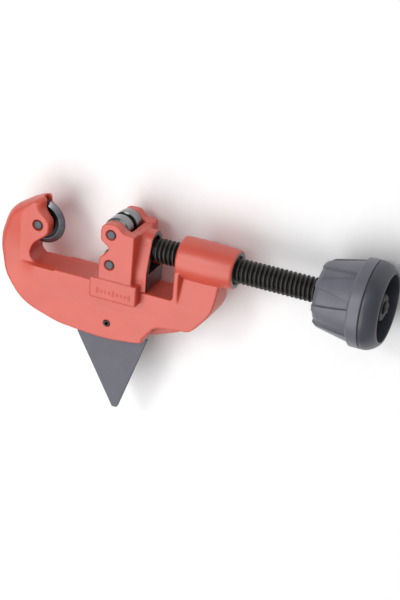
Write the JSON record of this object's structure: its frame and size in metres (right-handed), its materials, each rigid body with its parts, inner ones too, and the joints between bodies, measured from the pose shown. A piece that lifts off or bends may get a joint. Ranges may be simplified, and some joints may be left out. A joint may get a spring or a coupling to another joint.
{
  "type": "pipe cutter",
  "caption": "Screw-feed tube and pipe cutter: cast C-frame, cutting wheel, sliding roller carriage, fluted knob and fold-out reamer.",
  "frame": {"origin": "centre of the tool's outline in X and Y, at the lowest point of the knob's rim", "axes": "+X along the feed screw towards the knob, +Y the way the jaw opens, +Z the side normal"},
  "size_m": [0.1806, 0.1016, 0.0382],
  "materials": {
    "frame_paint": "orange-red enamel on a zinc casting, satin gloss",
    "carriage_paint": "orange-red enamel on a zinc casting, satin gloss",
    "tool_steel": "hardened and ground, dark",
    "roller_steel": "turned and polished",
    "pin_steel": "plain ground steel",
    "screw_steel": "black oxide",
    "knob_plastic": "satin moulded nylon, slate grey",
    "fastener_zinc": "zinc plated",
    "blade_steel": "blasted grey blade steel"
  },
  "bodies": {
    "frame": {"frame_body": "frame_paint", "wheel_pin": "pin_steel", "reamer_pin": "pin_steel", "reamer_washer_front": "pin_steel", "reamer_washer_rear": "pin_steel"},
    "wheel": {"cutting_wheel": "tool_steel"},
    "carriage": {"carriage": "carriage_paint", "roller_pin_upper": "pin_steel", "roller_pin_lower": "pin_steel", "thrust_washer": "pin_steel", "nose_washer": "pin_steel"},
    "upper_roller": {"roller_upper": "roller_steel"},
    "lower_roller": {"roller_lower": "roller_steel"},
    "screw": {"spindle": "screw_steel", "retaining_ring": "tool_steel", "knob_body": "knob_plastic", "knob_end_ring": "knob_plastic", "knob_washer": "fastener_zinc", "knob_screw": "fastener_zinc"},
    "reamer": {"reamer_blade": "blade_steel"}
  },
  "joints": [
    {"name": "wheel_spin", "type": "hinge", "parent": "frame", "child": "wheel", "pos_m": [-0.07005, 0.03166, 0.0191], "axis": [0, 0, 1], "continuous": true},
    {"name": "carriage_slide", "type": "slide", "parent": "frame", "child": "carriage", "axis": [1, 0, 0], "range_m": [-0.0234, 0.0118]},
    {"name": "roller_upper_spin", "type": "hinge", "parent": "carriage", "child": "upper_roller", "pos_m": [-0.03155, 0.03876, 0.0191], "axis": [0, 0, 1], "continuous": true},
    {"name": "roller_lower_spin", "type": "hinge", "parent": "carriage", "child": "lower_roller", "pos_m": [-0.03155, 0.02456, 0.0191], "axis": [0, 0, 1], "continuous": true},
    {"name": "knob_turn", "type": "hinge", "parent": "carriage", "child": "screw", "pos_m": [-0.01005, 0.03166, 0.0191], "axis": [1, 0, 0], "range_deg": [-4248, 2160]},
    {"name": "reamer_fold", "type": "hinge", "parent": "frame", "child": "reamer", "pos_m": [-0.03265, -0.00534, 0.0191], "axis": [0, 0, 1], "range_deg": [0, 95]}
  ],
  "couplings": [
    {"joint": "knob_turn", "follows": "carriage_slide", "rad_per_m": 3141.6}
  ]
}
